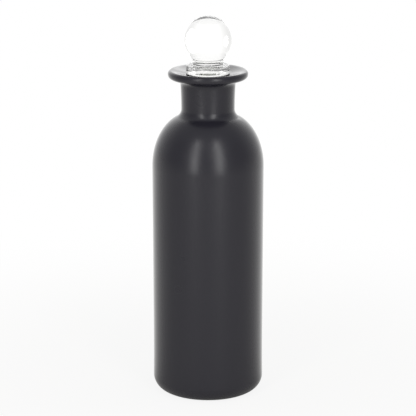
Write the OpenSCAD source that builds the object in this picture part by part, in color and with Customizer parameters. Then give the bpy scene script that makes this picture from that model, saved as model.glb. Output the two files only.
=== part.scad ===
// Round glass bottle with a long straight body, a flared lip and a solid ball stopper.
// The stopper's tenon carries a soft ribbed plug that seals it in the bore.
// Millimetres. The bottle stands on Z = 0 with its axis on Z.

/* [Bottle body] */
// Diameter of the straight side
body_d = 87.5; // [80:0.5:100]
// How much narrower the side is at the heel than at the shoulder
side_taper = 0.9; // [0:0.1:6]
// Height at which the straight side turns into the shoulder
side_h = 181.8; // [120:0.1:240]
// Radius of the round heel between the side and the base
heel_r = 12; // [6:0.5:16]
// Reach of the shoulder curve, inwards from the side
shoulder_w = 29.6; // [24:0.1:32]
// Rise of the shoulder curve, if it ran on to its top
shoulder_h = 41.1; // [30:0.1:60]

/* [Neck] */
// Diameter of the neck where it leaves the shoulder
neck_d = 41.7; // [38:0.1:44]
// Outward lean of the neck's side where it meets the lip, in degrees
neck_lean = 3.5; // [1:0.1:6]
// Length of the neck, from the top of the shoulder curve to the lip
neck_h = 27.9; // [24:0.1:60]
// Radius of the hollow between shoulder and neck
neck_blend_r = 10.5; // [6:0.5:14]

/* [Lip] */
// Diameter of the lip
lip_d = 62.4; // [60.4:0.2:72]
// Thickness of the lip
lip_t = 6.5; // [6.1:0.1:8]
// Radius of the lip's upper edge
lip_top_r = 2.6; // [1.5:0.1:3]
// Radius of the lip's lower edge
lip_low_r = 3.4; // [2:0.1:3.8]
// Radius of the hollow under the lip
lip_blend_r = 5.3; // [2:0.1:6]
// How far the stopper's seat lies below the lip's crest
dish_depth = 2.4; // [0.8:0.1:3]
// Width of the flat land outside the stopper's flange
land_margin = 0.9; // [0.4:0.1:2]

/* [Glass inside the bottle] */
// Thickness of the side wall and the shoulder
wall = 3.5; // [2:0.1:5]
// Thickness of the bottom at its centre
bottom_t = 6; // [4:0.5:12]
// Rise of the push-up under the bottom
punt_h = 3; // [1:0.5:6]
// Rise of the floor inside, from the heel to its centre
floor_rise = 2; // [0.5:0.5:4]
// Width of the flat ring that the bottle stands on
foot_w = 3; // [1.5:0.5:5]
// Diameter of the bore in the neck
bore_d = 28; // [27:0.1:30]
// Radius of the round between the bore and the inside of the shoulder
bore_blend_r = 14; // [6:0.5:18]
// Radius of the round at the mouth of the bore
mouth_r = 0.8; // [0.3:0.1:1.2]

/* [Ball stopper] */
// Diameter of the ball
ball_d = 37.5; // [32:0.5:45]
// Diameter of the collar between ball and flange
collar_d = 24.1; // [18:0.1:28]
// Height of the collar, from the flange to the ball
collar_h = 5; // [4:0.1:10]
// Radius of the hollow between flange and collar
collar_blend_r = 1.4; // [0.4:0.1:2]
// Radius of the hollow between collar and ball
ball_blend_r = 1; // [0.4:0.1:2]
// Diameter of the flange that rests on the lip
flange_d = 33.6; // [32.6:0.1:38]
// Thickness of the flange
flange_t = 6.4; // [4:0.1:9]
// Radius of the flange's upper edge
flange_top_r = 0.8; // [0.5:0.1:2.4]
// Radius of the flange's lower edge
flange_low_r = 0.7; // [0.3:0.1:1]
// Diameter of the tenon below the flange
tenon_d = 13; // [9:0.5:18]
// Length of the tenon
tenon_l = 16; // [12:0.5:18]
// Radius of the tenon's lower edge
tenon_tip_r = 1; // [0.5:0.1:2]
// Depth of the groove that holds the seal plug on the tenon
groove_depth = 0.6; // [0.3:0.1:1]
// Height of that groove
groove_h = 4; // [2:0.5:6]

/* [Seal plug] */
// Diameter of the plug between its ribs
plug_d = 25.4; // [22:0.1:26]
// Length of the plug
plug_l = 22; // [20:0.5:28]
// Radius of the plug's lower edge
plug_tip_r = 1.5; // [0.5:0.1:2]
// Number of sealing ribs
rib_count = 4; // [2:1:5]
// Thickness of each rib at its root
rib_root = 1.6; // [1:0.1:2]
// Thickness of each rib at its edge
rib_edge = 0.5; // [0.3:0.1:0.9]
// Gap between the seated ribs and the bore
rib_clearance = 0.05; // [0.02:0.01:0.1]

/* [Hidden] */
$fn = 96;

// Largest gap between a curve and the straight steps that stand for it
curve_gap = 0.01;
// Halvings of the search for the point where two curves touch
touch_steps = 30;

body_r = body_d / 2;
heel_side_r = body_r - side_taper / 2;
neck_r = neck_d / 2;
bore_r = bore_d / 2;
lip_r = lip_d / 2;
ball_r = ball_d / 2;
collar_r = collar_d / 2;
flange_r = flange_d / 2;
tenon_r = tenon_d / 2;
plug_r = plug_d / 2;

// Heights up the bottle
lip_low_z = side_h + shoulder_h + neck_h;
lip_top_z = lip_low_z + lip_t;
seat_z = lip_top_z - dish_depth;

// Outer edge of the flat land that the stopper's flange rests on
land_r = flange_r + land_margin;

// Distance from the axis to the middle of the shoulder curve
shoulder_x = body_r - shoulder_w;

// The push-up ends where the foot ring starts
foot_out_r = heel_side_r - heel_r;
punt_r = foot_out_r - foot_w;

// Heights up the stopper, and the reach of its ribs
flange_top_z = seat_z + flange_t;
collar_top_z = flange_top_z + collar_h;
ball_z = collar_top_z + sqrt(ball_r * ball_r - collar_r * collar_r);
tenon_low_z = seat_z - tenon_l;
groove_z = seat_z - tenon_l / 2;
plug_low_z = seat_z - plug_l;
rib_r = bore_r - rib_clearance;
rib_pitch = plug_l / rib_count;

// Degrees between the points of a curve of radius r that leave it by no more than curve_gap
function curve_step(r) = 2 * acos(1 - curve_gap / r);

// Points along part of an ellipse about [x, z], from one angle to another
function ellipse_arc(x, z, a, b, from, to) =
    let (n = max(2, ceil(abs(to - from) / curve_step(max(a, b)))))
    [for (i = [0 : n]) let (t = from + (to - from) * i / n) [x + a * cos(t), z + b * sin(t)]];

// Points along part of a circle about [x, z]
function arc(x, z, r, from, to) = ellipse_arc(x, z, r, r, from, to);

// Angle of the line square to an ellipse at its parameter t
function square_angle(a, b, t) = atan2(sin(t) / b, cos(t) / a);

// Parameter of the ellipse about x at which a circle of radius r outside it is centred reach from the axis
function touch(x, a, b, r, reach, low = 0, high = 90, steps = touch_steps) =
    let (t = (low + high) / 2)
    steps == 0 ? t
    : x + a * cos(t) + r * cos(square_angle(a, b, t)) > reach
        ? touch(x, a, b, r, reach, t, high, steps - 1)
        : touch(x, a, b, r, reach, low, t, steps - 1);

// Shoulder and the hollow above it: an ellipse about [x, z] that runs into a circle of radius r
// and so turns upright at the radius neck
function shoulder(x, z, a, b, r, neck) =
    let (
        t = touch(x, a, b, r, neck + r),
        square = square_angle(a, b, t),
        hollow_z = z + b * sin(t) + r * sin(square)
    )
    concat(
        ellipse_arc(x, z, a, b, 0, t),
        arc(neck + r, hollow_z, r, 180 + square, 180)
    );

// Radius of the circle that rises by h over the half width w
function dome_r(w, h) = (w * w + h * h) / (2 * h);

// Points of a shallow dome from the axis out to radius w, with its edge at height z
function dome(w, h, z) =
    let (r = dome_r(w, h))
    arc(0, z + h - r, r, 90, 90 - asin(w / r));

// Outside of the bottle, from the axis out under the base and up to the seat's outer edge.
// The neck leaves the shoulder upright at its waist and leans out in one long curve, which the
// hollow under the lip takes over at the same lean.
function bottle_outside() =
    let (
        rise = shoulder(shoulder_x, side_h, shoulder_w, shoulder_h, neck_blend_r, neck_r),
        waist_z = rise[len(rise) - 1][1],
        hollow_z = lip_low_z - lip_blend_r,
        neck_top_z = hollow_z + lip_blend_r * sin(neck_lean),
        lean_r = (neck_top_z - waist_z) / sin(neck_lean),
        hollow_x = neck_r + lean_r * (1 - cos(neck_lean)) + lip_blend_r * cos(neck_lean)
    )
    concat(
        dome(punt_r, punt_h, 0),
        arc(foot_out_r, heel_r, heel_r, -90, 0),
        rise,
        arc(neck_r + lean_r, waist_z, lean_r, 180, 180 - neck_lean),
        arc(hollow_x, hollow_z, lip_blend_r, 180 - neck_lean, 90),
        arc(lip_r - lip_low_r, lip_low_z + lip_low_r, lip_low_r, -90, 0),
        arc(lip_r - lip_top_r, lip_top_z - lip_top_r, lip_top_r, 0, 90),
        [[land_r, seat_z]]
    );

// Inside of the bottle, from the mouth of the bore down to the axis
function bottle_inside() =
    let (
        floor_z = bottom_t + punt_h - floor_rise,
        inner_heel_r = heel_r - wall,
        up = concat(
            dome(foot_out_r, floor_rise, floor_z),
            arc(foot_out_r, floor_z + inner_heel_r, inner_heel_r, -90, 0),
            shoulder(shoulder_x, side_h, shoulder_w - wall, shoulder_h - wall, bore_blend_r, bore_r),
            arc(bore_r + mouth_r, seat_z - mouth_r, mouth_r, 180, 90)
        )
    )
    [for (i = [len(up) - 1 : -1 : 0]) up[i]];

// Blown bottle, one wall of glass from the push-up to the lip
module bottle() {
    color([0.12, 0.12, 0.13])
    rotate_extrude()
    polygon(concat(bottle_outside(), bottle_inside()));
}

// Outside of the tenon, from the axis out and up to the flange, with the groove round its middle
function tenon() = concat(
    [[0, tenon_low_z]],
    arc(tenon_r - tenon_tip_r, tenon_low_z + tenon_tip_r, tenon_tip_r, -90, 0),
    [
        [tenon_r, groove_z - groove_h / 2],
        [tenon_r - groove_depth, groove_z - groove_h / 2 + groove_depth],
        [tenon_r - groove_depth, groove_z + groove_h / 2 - groove_depth],
        [tenon_r, groove_z + groove_h / 2],
        [tenon_r, seat_z]
    ]
);

// Ball and the hollow below it, from the collar up to the top: a circle of radius ball_blend_r
// that leaves the collar upright and touches the ball from outside
function ball() =
    let (
        blend_x = collar_r + ball_blend_r,
        touch_angle = acos(blend_x / (ball_r + ball_blend_r)),
        blend_z = ball_z - (ball_r + ball_blend_r) * sin(touch_angle)
    )
    concat(
        arc(blend_x, blend_z, ball_blend_r, 180, 180 - touch_angle),
        arc(0, ball_z, ball_r, -touch_angle, 90)
    );

// Solid stopper, pressed in one piece: tenon, flange, collar and ball
module stopper() {
    outline = concat(
        tenon(),
        arc(flange_r - flange_low_r, seat_z + flange_low_r, flange_low_r, -90, 0),
        arc(flange_r - flange_top_r, flange_top_z - flange_top_r, flange_top_r, 0, 90),
        arc(collar_r + collar_blend_r, flange_top_z + collar_blend_r, collar_blend_r, 270, 180),
        ball()
    );
    color([0.85, 0.9, 0.9, 0.5])
    rotate_extrude()
    polygon(outline);
}

// Outline of a sealing rib about the height z, from its lower root to its upper root
function rib(z) = [
    [plug_r, z - rib_root / 2],
    [rib_r, z - rib_edge / 2],
    [rib_r, z + rib_edge / 2],
    [plug_r, z + rib_root / 2]
];

// Soft plug, moulded in one piece, that is pushed on the tenon and seals in the bore
module seal_plug() {
    socket = tenon();
    outline = concat(
        [[0, plug_low_z]],
        arc(plug_r - plug_tip_r, plug_low_z + plug_tip_r, plug_tip_r, -90, 0),
        [for (i = [0 : rib_count - 1], corner = rib(plug_low_z + (i + 0.5) * rib_pitch)) corner],
        [[plug_r, seat_z]],
        [for (i = [len(socket) - 1 : -1 : 0]) socket[i]]
    );
    color([0.92, 0.93, 0.93, 0.7])
    rotate_extrude()
    polygon(outline);
}

bottle();
stopper();
seal_plug();
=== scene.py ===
import math

import bpy
import numpy as np
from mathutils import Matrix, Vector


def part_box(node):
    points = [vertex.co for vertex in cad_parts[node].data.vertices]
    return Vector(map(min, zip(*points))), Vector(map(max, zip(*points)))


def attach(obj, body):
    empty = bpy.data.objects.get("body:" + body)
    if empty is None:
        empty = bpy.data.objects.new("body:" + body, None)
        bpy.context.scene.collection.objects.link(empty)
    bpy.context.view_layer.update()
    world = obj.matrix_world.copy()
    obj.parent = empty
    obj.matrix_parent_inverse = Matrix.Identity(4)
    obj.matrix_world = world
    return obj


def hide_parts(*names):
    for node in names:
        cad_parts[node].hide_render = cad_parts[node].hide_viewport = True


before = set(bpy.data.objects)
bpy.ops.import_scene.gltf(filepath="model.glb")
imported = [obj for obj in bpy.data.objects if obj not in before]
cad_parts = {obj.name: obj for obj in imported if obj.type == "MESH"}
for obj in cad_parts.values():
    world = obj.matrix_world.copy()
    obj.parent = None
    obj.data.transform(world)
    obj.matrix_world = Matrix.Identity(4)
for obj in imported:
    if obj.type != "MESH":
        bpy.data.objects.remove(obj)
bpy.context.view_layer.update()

# Bottle.
# A blown bottle of soda glass: straight round body, round shoulder, short neck and a thick lip
# that was opened out by hand. Outside it is sprayed with an opaque black lacquer that dries satin;
# inside it is bare glass, so there the same black shows through a smooth, glossy surface.

MM = 0.001
HALF_TURN = math.pi
QUARTER_TURN = math.pi / 2

# Sizes in millimetres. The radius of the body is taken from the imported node, whose facets leave it
# a hair under the true circle, so that this mesh stays inside the node's box.
bottle_low, bottle_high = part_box("bottle")
BODY_R = min(-bottle_low.x, bottle_high.x, -bottle_low.y, bottle_high.y) / MM
SIDE_TAPER = 0.9
SIDE_H = 181.8
HEEL_R = 12.0
SHOULDER_W = 29.6
SHOULDER_H = 41.7
NECK_R = 20.85
NECK_LEAN = math.radians(3.5)
NECK_H = 27.3
# The hollow at the neck's foot, a little tighter than the plain solid has it
NECK_BLEND_R = 7.0
LIP_R = 31.2
LIP_T = 6.5
LIP_TOP_R = 2.6
LIP_LOW_R = 3.4
LIP_BLEND_R = 5.3
DISH_DEPTH = 2.4
LAND_R = 17.7
WALL = 3.5
BOTTOM_T = 6.0
PUNT_H = 3.0
FLOOR_RISE = 2.0
FOOT_W = 3.0
BORE_R = 14.0
BORE_BLEND_R = 14.0
MOUTH_R = 0.8

LIP_LOW_Z = SIDE_H + SHOULDER_H + NECK_H
LIP_TOP_Z = LIP_LOW_Z + LIP_T
SEAT_Z = LIP_TOP_Z - DISH_DEPTH
FOOT_R = BODY_R - SIDE_TAPER / 2 - HEEL_R
SHOULDER_X = BODY_R - SHOULDER_W

# Straight stretches are cut into rings this far apart, so that a smooth normal stays true there
OUTSIDE_STEP = 2.5
INSIDE_STEP = 5.0
# Faces round the bottle
BOTTLE_TURNS = 224
# Edges that turn by more than this many degrees stay sharp
SHARP_ANGLE = 35.0
# Two points closer than this are one point
SAME_MM = 1e-6


def arc(x, z, a, b, start, end, count):
    """Points of an ellipse about (x, z) with half axes a and b: x + a cos t, z + b sin t.

    There are count points, with t in even steps from start to end.
    """
    t = np.linspace(start, end, count)
    return np.column_stack((x + a * np.cos(t), z + b * np.sin(t)))


def dome(width, height, z, count):
    """A shallow dome from its top on the axis out to its rim at width, at the height z.

    It is a circle of radius (width^2 + height^2) / 2 height, cut at that width.
    """
    r = (width * width + height * height) / (2 * height)
    return arc(0, z + height - r, r, r, QUARTER_TURN, QUARTER_TURN - math.asin(width / r), count)


def shoulder(a, b, blend_r, neck_r, count):
    """An ellipse that runs into a hollow of radius blend_r and turns upright at neck_r.

    The ellipse's outward normal at t is along (cos t / a, sin t / b). The touching point is the t
    at which the ellipse plus blend_r along that normal lies neck_r + blend_r from the axis.
    """
    t = np.linspace(0, QUARTER_TURN, 4001)
    normal = np.arctan2(np.sin(t) / b, np.cos(t) / a)
    reach = SHOULDER_X + a * np.cos(t) + blend_r * np.cos(normal)
    touch = np.interp(-(neck_r + blend_r), -reach, t)
    square = math.atan2(math.sin(touch) / b, math.cos(touch) / a)
    hollow_z = SIDE_H + b * math.sin(touch) + blend_r * math.sin(square)
    return np.vstack((
        arc(SHOULDER_X, SIDE_H, a, b, 0, touch, count),
        arc(neck_r + blend_r, hollow_z, blend_r, blend_r, HALF_TURN + square, HALF_TURN, count // 2),
    ))


def in_steps(points, longest):
    """The same line without doubles, and with points between where a step is over longest."""
    gaps = np.hypot(*np.diff(points, axis=0).T)
    points = points[np.append(True, gaps > SAME_MM)]
    gaps = gaps[gaps > SAME_MM]
    pieces = np.ceil(gaps / longest).astype(int)
    along = np.append(0, np.cumsum(gaps))
    starts = np.repeat(np.arange(len(gaps)), pieces)
    place = np.arange(pieces.sum()) - np.repeat(np.cumsum(pieces) - pieces, pieces)
    where = np.append(along[starts] + place * (gaps / pieces)[starts], along[-1])
    return np.column_stack([np.interp(where, along, points[:, i]) for i in (0, 1)])


def revolve(name, outline, turns):
    """Turns an outline of (radius, height) in millimetres about the Z axis, into one closed mesh.

    Ring j, place k is (r cos u, r sin u, z) with u = 2 pi k / turns. Each place, the next one and
    the two above them make a face. A ring on the axis is one point, so its faces are triangles.
    """
    u = np.arange(turns) * 2 * math.pi / turns
    r, z = outline[:, :1], outline[:, 1:]
    grid = np.stack((r * np.cos(u), r * np.sin(u), z + 0 * u), axis=-1)
    on_axis = outline[:, 0] < SAME_MM
    kept = np.outer(~on_axis, np.ones(turns, bool))
    kept[:, 0] = True
    number = np.cumsum(kept).reshape(kept.shape) - 1
    after = np.roll(number, -1, axis=1)
    after[on_axis] = number[on_axis]
    corners = np.stack((number[:-1], after[:-1], after[1:], number[1:]), axis=-1).reshape(-1, 4)
    distinct = corners != np.roll(corners, 1, axis=1)
    faces = np.split(corners[distinct], np.cumsum(distinct.sum(axis=1))[:-1])
    mesh = bpy.data.meshes.new(name)
    mesh.from_pydata(grid[kept] * MM, [], faces)
    mesh.shade_smooth()
    mesh.set_sharp_from_angle(angle=math.radians(SHARP_ANGLE))
    piece = bpy.data.objects.new(name, mesh)
    bpy.context.scene.collection.objects.link(piece)
    return piece


def linear(colour):
    """Linear red, green, blue and alpha 1 of an sRGB hex colour."""
    parts = np.array([int(colour[i:i + 2], 16) / 255 for i in (1, 3, 5)])
    parts = np.where(parts <= 0.04045, parts / 12.92, ((parts + 0.055) / 1.055) ** 2.4)
    return (*parts.tolist(), 1.0)


def add_node(tree, kind, settings=None, **links):
    """Adds a node. Settings are its properties; links are its inputs, as values or as sockets.

    An input is given by its name, with _ for a space, or by its number after the letter i.
    """
    node = tree.nodes.new(kind)
    for key, value in (settings or {}).items():
        setattr(node, key, value)
    for key, value in links.items():
        numbered = key[0] == "i" and key[1:].isdigit()
        socket = node.inputs[int(key[1:]) if numbered else key.replace("_", " ")]
        if isinstance(value, bpy.types.NodeSocket):
            tree.links.new(value, socket)
        else:
            socket.default_value = value
    return node


def new_material(name):
    """A material with an empty tree, and that tree."""
    material = bpy.data.materials.new(name)
    material.use_nodes = True
    material.node_tree.nodes.clear()
    return material, material.node_tree


def finish_material(tree, shader):
    """Joins a shader to the material's output."""
    add_node(tree, "ShaderNodeOutputMaterial", Surface=shader.outputs[0])


neck_rise = shoulder(SHOULDER_W, SHOULDER_H, NECK_BLEND_R, NECK_R, 60)
waist_z = neck_rise[-1, 1]
# The neck widens upwards on a long arc that touches the hollow under the lip
hollow_z = LIP_LOW_Z - LIP_BLEND_R
lean_r = (hollow_z + LIP_BLEND_R * math.sin(NECK_LEAN) - waist_z) / math.sin(NECK_LEAN)
hollow_x = NECK_R + lean_r * (1 - math.cos(NECK_LEAN)) + LIP_BLEND_R * math.cos(NECK_LEAN)
outside = np.vstack((
    dome(FOOT_R - FOOT_W, PUNT_H, 0, 14),
    arc(FOOT_R, HEEL_R, HEEL_R, HEEL_R, -QUARTER_TURN, 0, 26),
    neck_rise,
    arc(NECK_R + lean_r, waist_z, lean_r, lean_r, HALF_TURN, HALF_TURN - NECK_LEAN, 8),
    arc(hollow_x, hollow_z, LIP_BLEND_R, LIP_BLEND_R, HALF_TURN - NECK_LEAN, QUARTER_TURN, 18),
    arc(LIP_R - LIP_LOW_R, LIP_LOW_Z + LIP_LOW_R, LIP_LOW_R, LIP_LOW_R, -QUARTER_TURN, 0, 18),
    arc(LIP_R - LIP_TOP_R, LIP_TOP_Z - LIP_TOP_R, LIP_TOP_R, LIP_TOP_R, 0, QUARTER_TURN, 16),
    [[LAND_R, SEAT_Z]],
    arc(BORE_R + MOUTH_R, SEAT_Z - MOUTH_R, MOUTH_R, MOUTH_R, QUARTER_TURN, HALF_TURN, 8),
))
floor_z = BOTTOM_T + PUNT_H - FLOOR_RISE
inner_heel_r = HEEL_R - WALL
inside = np.vstack((
    dome(FOOT_R, FLOOR_RISE, floor_z, 10),
    arc(FOOT_R, floor_z + inner_heel_r, inner_heel_r, inner_heel_r, -QUARTER_TURN, 0, 14),
    shoulder(SHOULDER_W - WALL, SHOULDER_H - WALL, BORE_BLEND_R, BORE_R, 30),
    [[BORE_R, SEAT_Z - MOUTH_R]],
))[::-1]
outside = in_steps(outside, OUTSIDE_STEP)
inside = in_steps(inside, INSIDE_STEP)
bottle = revolve("glass_bottle", np.vstack((outside, inside[1:])), BOTTLE_TURNS)

# Black lacquer, sprayed on glass and dried satin: a very dark, faintly blue ground under a clear
# surface that keeps a soft edge on every reflection and turns glossier at a glancing angle. The
# spray leaves a faint orange peel about 1.5 mm across, drawn as bump, and slightly glossier and
# duller clouds a few centimetres wide.
LACQUER = "#222129"
LACQUER_IOR = 1.5
DULLEST, GLOSSIEST = 0.33, 0.27
GLANCING_GLOSS = 0.08
PEEL_MM = 1.6
PEEL_DEPTH_MM = 0.02
CLOUD_MM = 28.0
SWELL_MM = 45.0
SWELL_DEPTH_MM = 0.3

lacquer, tree = new_material("sprayed_satin_black_lacquer_on_glass")
place = add_node(tree, "ShaderNodeTexCoord").outputs["Object"]
clouds = add_node(
    tree, "ShaderNodeTexNoise", Vector=place, Scale=1 / (CLOUD_MM * MM), Detail=2.0, Roughness=0.5
).outputs[0]
peel = add_node(
    tree, "ShaderNodeTexNoise", Vector=place, Scale=1 / (PEEL_MM * MM), Detail=1.0, Roughness=0.4
).outputs[0]
swell = add_node(
    tree, "ShaderNodeTexNoise", Vector=place, Scale=1 / (SWELL_MM * MM), Detail=0.0
).outputs[0]
gloss = add_node(
    tree, "ShaderNodeMapRange", Value=clouds,
    From_Min=0.3, From_Max=0.7, To_Min=GLOSSIEST, To_Max=DULLEST
).outputs[0]
facing = add_node(tree, "ShaderNodeLayerWeight", Blend=0.5).outputs["Facing"]
glance = add_node(
    tree, "ShaderNodeMapRange", Value=facing, From_Min=0.4, From_Max=0.8, To_Min=0.0, To_Max=1.0
).outputs[0]
gloss = add_node(
    tree, "ShaderNodeMix", {"data_type": "FLOAT"}, Factor=glance, A=gloss, B=GLANCING_GLOSS
).outputs[0]
skin = add_node(
    tree, "ShaderNodeBump", Height=peel, Strength=0.12, Distance=PEEL_DEPTH_MM * MM
).outputs[0]
wave = add_node(
    tree, "ShaderNodeBump", Height=swell, Normal=skin, Strength=0.5, Distance=SWELL_DEPTH_MM * MM
).outputs[0]
finish_material(tree, add_node(
    tree, "ShaderNodeBsdfPrincipled", Base_Color=linear(LACQUER), Roughness=gloss,
    IOR=LACQUER_IOR, Normal=wave
))

# Bare glass as blown, with the black lacquer behind it: deep black, smooth and glossy, with the
# slow ripple of hand-worked glass.
LACQUER_BEHIND_GLASS = "#070808"
SODA_GLASS_IOR = 1.52
CORD_MM = 18.0
CORD_DEPTH_MM = 0.2

bare, tree = new_material("bare_glass_over_black_lacquer")
place = add_node(tree, "ShaderNodeTexCoord").outputs["Object"]
cords = add_node(
    tree, "ShaderNodeTexNoise", Vector=place, Scale=1 / (CORD_MM * MM), Detail=1.0
).outputs[0]
ripple = add_node(
    tree, "ShaderNodeBump", Height=cords, Strength=0.4, Distance=CORD_DEPTH_MM * MM
).outputs[0]
finish_material(tree, add_node(
    tree, "ShaderNodeBsdfPrincipled", Base_Color=linear(LACQUER_BEHIND_GLASS), Roughness=0.06,
    IOR=SODA_GLASS_IOR, Normal=ripple
))

bottle.data.materials.append(lacquer)
bottle.data.materials.append(bare)
# The inside comes last in the outline, so its faces are the mesh's last ones
inner_faces = (len(inside) - 1) * BOTTLE_TURNS
slots = np.zeros(len(bottle.data.polygons), np.int32)
slots[-inner_faces:] = 1
bottle.data.polygons.foreach_set("material_index", slots)
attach(bottle, "bottle")
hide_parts("bottle")

# Stopper.
# Pressed in one piece from clear soda glass and fire-polished: a solid ball on a short collar, a
# flange that rests on the bottle's lip, and a grooved tenon below it that carries the seal plug.
stopper_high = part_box("stopper")[1]
BALL_R = min(stopper_high.x, stopper_high.y) / MM
COLLAR_R = 12.05
COLLAR_BLEND_R = 1.4
BALL_BLEND_R = 1.0
FLANGE_R = 16.8
FLANGE_T = 6.4
FLANGE_TOP_R = 0.8
FLANGE_LOW_R = 0.7
TENON_R = 6.5
TENON_L = 16.0
TENON_TIP_R = 1.0
TENON_ROOT_R = 0.4
GROOVE_DEPTH = 0.6
GROOVE_H = 4.0
# Pressed glass never lies quite flat: the flange bears on its outer ring only
FLANGE_RELIEF = 0.08
STOPPER_STEP = 1.5
STOPPER_TURNS = 192

flange_top_z = SEAT_Z + FLANGE_T
ball_z = stopper_high.z / MM - BALL_R


def tenon(gap):
    """Outside of the tenon from the axis up past its groove, with every face moved out by gap."""
    r = TENON_R + gap
    tip_r = TENON_TIP_R + gap
    low_z = SEAT_Z - TENON_L - gap
    middle_z = SEAT_Z - TENON_L / 2
    step = GROOVE_H / 2
    return np.vstack((
        [[0, low_z]],
        arc(r - tip_r, low_z + tip_r, tip_r, tip_r, -QUARTER_TURN, 0, 10),
        [[r, middle_z - step], [r - GROOVE_DEPTH, middle_z - step + GROOVE_DEPTH]],
        [[r - GROOVE_DEPTH, middle_z + step - GROOVE_DEPTH], [r, middle_z + step]],
    ))


# The hollow between collar and ball leaves the collar upright and touches the ball from outside
blend_x = COLLAR_R + BALL_BLEND_R
touch = math.acos(blend_x / (BALL_R + BALL_BLEND_R))
blend_z = ball_z - (BALL_R + BALL_BLEND_R) * math.sin(touch)
root_z = SEAT_Z + FLANGE_RELIEF - TENON_ROOT_R
stopper_outline = np.vstack((
    tenon(0),
    arc(TENON_R + TENON_ROOT_R, root_z, TENON_ROOT_R, TENON_ROOT_R, HALF_TURN, QUARTER_TURN, 6),
    arc(FLANGE_R - FLANGE_LOW_R, SEAT_Z + FLANGE_LOW_R, FLANGE_LOW_R, FLANGE_LOW_R,
        -QUARTER_TURN, 0, 12),
    arc(FLANGE_R - FLANGE_TOP_R, flange_top_z - FLANGE_TOP_R, FLANGE_TOP_R, FLANGE_TOP_R,
        0, QUARTER_TURN, 14),
    arc(COLLAR_R + COLLAR_BLEND_R, flange_top_z + COLLAR_BLEND_R, COLLAR_BLEND_R, COLLAR_BLEND_R,
        HALF_TURN + QUARTER_TURN, HALF_TURN, 14),
    arc(blend_x, blend_z, BALL_BLEND_R, BALL_BLEND_R, HALF_TURN, HALF_TURN - touch, 12),
    arc(0, ball_z, BALL_R, BALL_R, -touch, QUARTER_TURN, 110),
))
stopper_outline[-1, 0] = 0
stopper = revolve("glass_stopper", in_steps(stopper_outline, STOPPER_STEP), STOPPER_TURNS)

# Clear soda glass, pressed and fire-polished: almost colourless and perfectly smooth, with faint
# slow waves left by the mould, which bend what is seen through it a little.
CLEAR_GLASS = "#fefefd"
WAVE_MM = 9.0
WAVE_DEPTH_MM = 0.1

glass, tree = new_material("clear_pressed_soda_glass")
place = add_node(tree, "ShaderNodeTexCoord").outputs["Object"]
waves = add_node(
    tree, "ShaderNodeTexNoise", Vector=place, Scale=1 / (WAVE_MM * MM), Detail=1.0
).outputs[0]
ripple = add_node(
    tree, "ShaderNodeBump", Height=waves, Strength=0.25, Distance=WAVE_DEPTH_MM * MM
).outputs[0]
finish_material(tree, add_node(
    tree, "ShaderNodeBsdfPrincipled", Base_Color=linear(CLEAR_GLASS), Roughness=0.0,
    IOR=SODA_GLASS_IOR, Transmission_Weight=1.0, Normal=ripple
))
stopper.data.materials.append(glass)
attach(stopper, "stopper")
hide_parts("stopper")

# Seal plug.
# A soft plug of natural polyethylene, moulded in one piece and pushed on the tenon, whose groove
# holds it. Its four ribs give way against the bore and hold the stopper.
plug_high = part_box("seal_plug")[1]
PLUG_R = 12.7
PLUG_L = 22.0
PLUG_TIP_R = 1.5
RIB_COUNT = 4
RIB_ROOT = 1.6
RIB_EDGE = 0.5
RIB_R = min(plug_high.x, plug_high.y) / MM
# Air left between plastic and glass, on the tenon and under the flange
TENON_GAP = 0.05
FLANGE_GAP = 0.1
PLUG_STEP = 1.5
PLUG_TURNS = 128

plug_low_z = SEAT_Z - PLUG_L
plug_top_z = SEAT_Z - FLANGE_GAP
rib_z = plug_low_z + (np.arange(RIB_COUNT) + 0.5) * PLUG_L / RIB_COUNT
rib_x = np.array([PLUG_R, RIB_R, RIB_R, PLUG_R])
rib_rise = np.array([-RIB_ROOT, -RIB_EDGE, RIB_EDGE, RIB_ROOT]) / 2
ribs = np.column_stack((np.tile(rib_x, RIB_COUNT), np.add.outer(rib_z, rib_rise).ravel()))
plug_outline = np.vstack((
    [[0, plug_low_z]],
    arc(PLUG_R - PLUG_TIP_R, plug_low_z + PLUG_TIP_R, PLUG_TIP_R, PLUG_TIP_R, -QUARTER_TURN, 0, 10),
    ribs,
    [[PLUG_R, plug_top_z], [TENON_R + TENON_ROOT_R, plug_top_z]],
    [[TENON_R + TENON_GAP, plug_top_z - TENON_ROOT_R]],
    tenon(TENON_GAP)[::-1],
))
plug = revolve("ribbed_seal_plug", in_steps(plug_outline, PLUG_STEP), PLUG_TURNS)

# Natural polyethylene, moulded: milky white with a breath of grey-green, dull and soft to the eye,
# and slightly uneven in its gloss where the plastic flowed.
NATURAL_PLASTIC = "#e6e9e4"
PLASTIC_IOR = 1.51
FLOW_MM = 3.0

soft, tree = new_material("moulded_natural_polyethylene")
place = add_node(tree, "ShaderNodeTexCoord").outputs["Object"]
flow = add_node(
    tree, "ShaderNodeTexNoise", Vector=place, Scale=1 / (FLOW_MM * MM), Detail=2.0
).outputs[0]
milk = add_node(
    tree, "ShaderNodeMapRange", Value=flow, From_Min=0.3, From_Max=0.7, To_Min=0.3, To_Max=0.42
).outputs[0]
finish_material(tree, add_node(
    tree, "ShaderNodeBsdfPrincipled", Base_Color=linear(NATURAL_PLASTIC), Roughness=milk,
    IOR=PLASTIC_IOR, Transmission_Weight=0.15
))
plug.data.materials.append(soft)
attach(plug, "stopper")
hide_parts("seal_plug")

# Table.
# A plain sweep of matt white paper. The camera and the glass see it white, and near the bottle
# part of that tone comes from the light that falls on it, so it keeps the bottle's soft shadow.
# The lacquer reflects the paper as the lamps light it, plus a painted glow: the paper itself gives
# out light that grows towards the back, brightest behind the bottle, and only reflections see it.
# What is seen through glass is painted: a glow a hair over white, which makes up for the light its
# faces turn back, and painted shade greyer to the left and right, standing in for flags beside a
# bottle: it gives glass a fine grey outline.
PAPER = "#e9e8e5"
WHITE = (1, 1, 1, 1)
FLOOR_R = 8.0
FLOOR_CORNERS = 96
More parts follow.
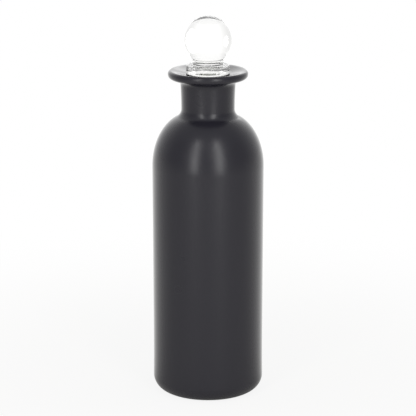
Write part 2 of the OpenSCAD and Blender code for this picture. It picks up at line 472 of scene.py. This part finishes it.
# The paper lies this far under the foot, so that the two don't fight
FLOOR_GAP = 0.02 * MM
SHADOW_SHARE = 0.12
SHADOW_CORE, SHADOW_R = 0.1, 0.5
# The paper's painted glow behind the bottle, and how it falls away towards the front
BACK_GLOW = 1.08
FLOOR_FALLOFF = 1.6
# A bearing counts as behind from this share of its length on
BACK_START = -0.3
# The paper as glass sees it: a painted glow over white, and painted shade to the left and right
SEEN_THROUGH = 1.06
SEEN_ASIDE = 0.68
FLAG_START = 0.4

turn = np.linspace(0, 2 * math.pi, FLOOR_CORNERS, endpoint=False)
rim = np.column_stack((
    FLOOR_R * np.cos(turn), FLOOR_R * np.sin(turn), np.full(FLOOR_CORNERS, -FLOOR_GAP)
))
floor_mesh = bpy.data.meshes.new("floor")
floor_mesh.from_pydata(rim, [], [list(range(FLOOR_CORNERS))])
floor = bpy.data.objects.new("floor", floor_mesh)
bpy.context.scene.collection.objects.link(floor)


def bearing(tree, way, axis):
    """The X or Y part of a direction's compass bearing, which is its level part at length 1."""
    flat = add_node(
        tree, "ShaderNodeVectorMath", {"operation": "MULTIPLY"}, i0=way, i1=(1, 1, 0)
    ).outputs[0]
    flat = add_node(tree, "ShaderNodeVectorMath", {"operation": "NORMALIZE"}, i0=flat).outputs[0]
    return add_node(tree, "ShaderNodeSeparateXYZ", Vector=flat).outputs[axis]


def towards_back(tree, way, power):
    """How far a direction's compass bearing points behind the bottle: 0 in front, 1 behind.

    It is ((y - start) / (1 - start)) to a power, where y is the bearing's part away from the
    camera and start is BACK_START.
    """
    part = add_node(
        tree, "ShaderNodeMapRange", Value=bearing(tree, way, "Y"),
        From_Min=BACK_START, From_Max=1.0, To_Min=0.0, To_Max=1.0
    ).outputs[0]
    return add_node(tree, "ShaderNodeMath", {"operation": "POWER"}, i0=part, i1=power).outputs[0]


def seen_through_glass(tree, way):
    """How white the glass sees a direction: falls evenly towards the left and right of the bottle."""
    aside = add_node(
        tree, "ShaderNodeMath", {"operation": "ABSOLUTE"}, i0=bearing(tree, way, "X")
    ).outputs[0]
    return add_node(
        tree, "ShaderNodeMapRange", Value=aside,
        From_Min=FLAG_START, From_Max=1.0, To_Min=SEEN_THROUGH, To_Max=SEEN_ASIDE
    ).outputs[0]


paper, tree = new_material("matt_white_paper")
place = add_node(tree, "ShaderNodeTexCoord").outputs["Object"]
away = add_node(tree, "ShaderNodeVectorMath", {"operation": "LENGTH"}, i0=place).outputs["Value"]
shadow_share = add_node(
    tree, "ShaderNodeMapRange", {"interpolation_type": "SMOOTHSTEP"}, Value=away,
    From_Min=SHADOW_CORE, From_Max=SHADOW_R, To_Min=SHADOW_SHARE, To_Max=0.0
).outputs[0]
# Painted glow: the paper gives out light, more the further behind the bottle it lies
behind = towards_back(tree, place, FLOOR_FALLOFF)
glow = add_node(
    tree, "ShaderNodeMath", {"operation": "MULTIPLY"}, i0=behind, i1=BACK_GLOW
).outputs[0]
matt = add_node(tree, "ShaderNodeBsdfDiffuse", Color=linear(PAPER)).outputs[0]
white = add_node(tree, "ShaderNodeEmission", Color=WHITE, Strength=1.0).outputs[0]
painted_back_glow = add_node(tree, "ShaderNodeEmission", Color=WHITE, Strength=glow).outputs[0]
plain = add_node(tree, "ShaderNodeMixShader", i0=shadow_share, i1=white, i2=matt).outputs[0]
lit_and_painted_glow = add_node(tree, "ShaderNodeAddShader", i0=matt, i1=painted_back_glow).outputs[0]
path = add_node(tree, "ShaderNodeLightPath")
# Through glass the paper shows painted levels instead of its light, with painted shade to the sides
through = add_node(
    tree, "ShaderNodeEmission", Color=WHITE, Strength=seen_through_glass(tree, place)
).outputs[0]
shown = add_node(
    tree, "ShaderNodeMixShader", i0=path.outputs["Is Glossy Ray"], i1=matt, i2=lit_and_painted_glow
).outputs[0]
shown = add_node(
    tree, "ShaderNodeMixShader", i0=path.outputs["Is Transmission Ray"], i1=shown, i2=through
).outputs[0]
finish_material(tree, add_node(
    tree, "ShaderNodeMixShader", i0=path.outputs["Is Camera Ray"], i1=shown, i2=plain
))
floor_mesh.materials.append(paper)

# Studio.
# A white surround, darker on the camera's side and overhead and bright behind the bottle, and two
# tall upright soft boxes left and right of the camera. They draw the soft streaks on the shoulder.
# A backdrop light brightens the room above the horizon right behind the bottle and a little to its
# right: it shows in the dished lip and the flange. The flags beside the bottle, seen only through
# its glass, end well above it.
ROOM_DIFFUSE = 0.55
ROOM_FRONT = 0.32
ROOM_TOP = 0.48
ROOM_BACK = 1.62
ROOM_FALLOFF = 2.0
# Heights below are the upward part of a direction of length 1, from 0 level to 1 overhead
TOP_LOW, TOP_HIGH = 0.45, 0.85
FLAG_LOW, FLAG_HIGH = 0.3, 0.6
GLOW_LOW, GLOW_HIGH = 0.2, 0.35
# The backdrop light's gain, the X part of its bearing, and its core and reach to either side
GLOW_GAIN = 0.82
GLOW_X = 0.17
GLOW_CORE, GLOW_REACH = 0.12, 0.28

world = bpy.data.worlds.new("studio")
bpy.context.scene.world = world
world.use_nodes = True
tree = world.node_tree
tree.nodes.clear()
way = add_node(tree, "ShaderNodeTexCoord").outputs["Generated"]
rise = add_node(tree, "ShaderNodeSeparateXYZ", Vector=way).outputs["Z"]
room = add_node(
    tree, "ShaderNodeMapRange", Value=towards_back(tree, way, ROOM_FALLOFF),
    From_Min=0.0, From_Max=1.0, To_Min=ROOM_FRONT, To_Max=ROOM_BACK
).outputs[0]
overhead = add_node(
    tree, "ShaderNodeMapRange", {"interpolation_type": "SMOOTHSTEP"}, Value=rise,
    From_Min=TOP_LOW, From_Max=TOP_HIGH, To_Min=0.0, To_Max=1.0
).outputs[0]
glow_rise = add_node(
    tree, "ShaderNodeMapRange", {"interpolation_type": "SMOOTHSTEP"}, Value=rise,
    From_Min=GLOW_LOW, From_Max=GLOW_HIGH, To_Min=0.0, To_Max=GLOW_GAIN
).outputs[0]
aside = add_node(
    tree, "ShaderNodeMath", {"operation": "SUBTRACT"}, i0=bearing(tree, way, "X"), i1=GLOW_X
).outputs[0]
aside = add_node(tree, "ShaderNodeMath", {"operation": "ABSOLUTE"}, i0=aside).outputs[0]
backdrop_glow = add_node(
    tree, "ShaderNodeMapRange", {"interpolation_type": "SMOOTHSTEP"}, Value=aside,
    From_Min=GLOW_CORE, From_Max=GLOW_REACH, To_Min=glow_rise, To_Max=0.0
).outputs[0]
room = add_node(
    tree, "ShaderNodeMath", {"operation": "MULTIPLY_ADD"}, i0=backdrop_glow, i1=room, i2=room
).outputs[0]
room = add_node(
    tree, "ShaderNodeMix", {"data_type": "FLOAT"}, Factor=overhead, A=room, B=ROOM_TOP
).outputs[0]
over_flags = add_node(
    tree, "ShaderNodeMapRange", Value=rise,
    From_Min=FLAG_LOW, From_Max=FLAG_HIGH, To_Min=0.0, To_Max=1.0
).outputs[0]
seen_through = add_node(
    tree, "ShaderNodeMix", {"data_type": "FLOAT"}, Factor=over_flags,
    A=seen_through_glass(tree, way), B=SEEN_THROUGH
).outputs[0]
path = add_node(tree, "ShaderNodeLightPath")
level = add_node(
    tree, "ShaderNodeMix", {"data_type": "FLOAT"}, Factor=path.outputs["Is Glossy Ray"],
    A=ROOM_DIFFUSE, B=room
).outputs[0]
level = add_node(
    tree, "ShaderNodeMix", {"data_type": "FLOAT"}, Factor=path.outputs["Is Transmission Ray"],
    A=level, B=seen_through
).outputs[0]
level = add_node(
    tree, "ShaderNodeMix", {"data_type": "FLOAT"}, Factor=path.outputs["Is Camera Ray"],
    A=level, B=1.0
).outputs[0]
surround = add_node(tree, "ShaderNodeBackground", Color=WHITE, Strength=level)
add_node(tree, "ShaderNodeOutputWorld", Surface=surround.outputs[0])

BOX_WIDTH = 0.33
BOX_LOW, BOX_HIGH = 0.05, 1.8
BOX_AWAY = 1.4
BOX_LEFT, BOX_RIGHT = math.radians(-28), math.radians(24)
BOX_RADIANCE_LEFT, BOX_RADIANCE_RIGHT = 3.95, 4.75


def soft_box(name, azimuth, radiance):
    """An upright area lamp at an angle round from the camera's side, facing the bottle's axis.

    A lamp of one radiance gives out pi times that radiance times its area.
    """
    lamp = bpy.data.lights.new(name, "AREA")
    lamp.shape = "RECTANGLE"
    lamp.size = BOX_WIDTH
    lamp.size_y = BOX_HIGH - BOX_LOW
    lamp.energy = radiance * math.pi * lamp.size * lamp.size_y
    box = bpy.data.objects.new(name, lamp)
    box.location = (
        BOX_AWAY * math.sin(azimuth), -BOX_AWAY * math.cos(azimuth), (BOX_LOW + BOX_HIGH) / 2
    )
    box.rotation_euler = (QUARTER_TURN, 0, azimuth)
    bpy.context.scene.collection.objects.link(box)


soft_box("soft_box_left", BOX_LEFT, BOX_RADIANCE_LEFT)
soft_box("soft_box_right", BOX_RIGHT, BOX_RADIANCE_RIGHT)

# Camera.
# It stands 1.685 m from the middle of the bottle and looks down at it by 14.4 degrees.
PICTURE_PX = 416
FOCAL_PX = 2150
SENSOR_MM = 36.0
LOOK_DOWN = math.radians(14.4)
AWAY = 1.685
MIDDLE_Z = 0.1494
# The middle of the bottle lies this far above the middle of the picture
RAISED_PX = 2.4

lens = bpy.data.cameras.new("camera")
lens.sensor_width = SENSOR_MM
lens.lens = FOCAL_PX / PICTURE_PX * SENSOR_MM
camera = bpy.data.objects.new("camera", lens)
camera.location = (0, -AWAY * math.cos(LOOK_DOWN), MIDDLE_Z + AWAY * math.sin(LOOK_DOWN))
down = LOOK_DOWN + math.atan(RAISED_PX / FOCAL_PX)
camera.rotation_euler = (QUARTER_TURN - down, 0, 0)
bpy.context.scene.collection.objects.link(camera)
bpy.context.scene.camera = camera
bpy.context.scene.view_settings.view_transform = "Standard"
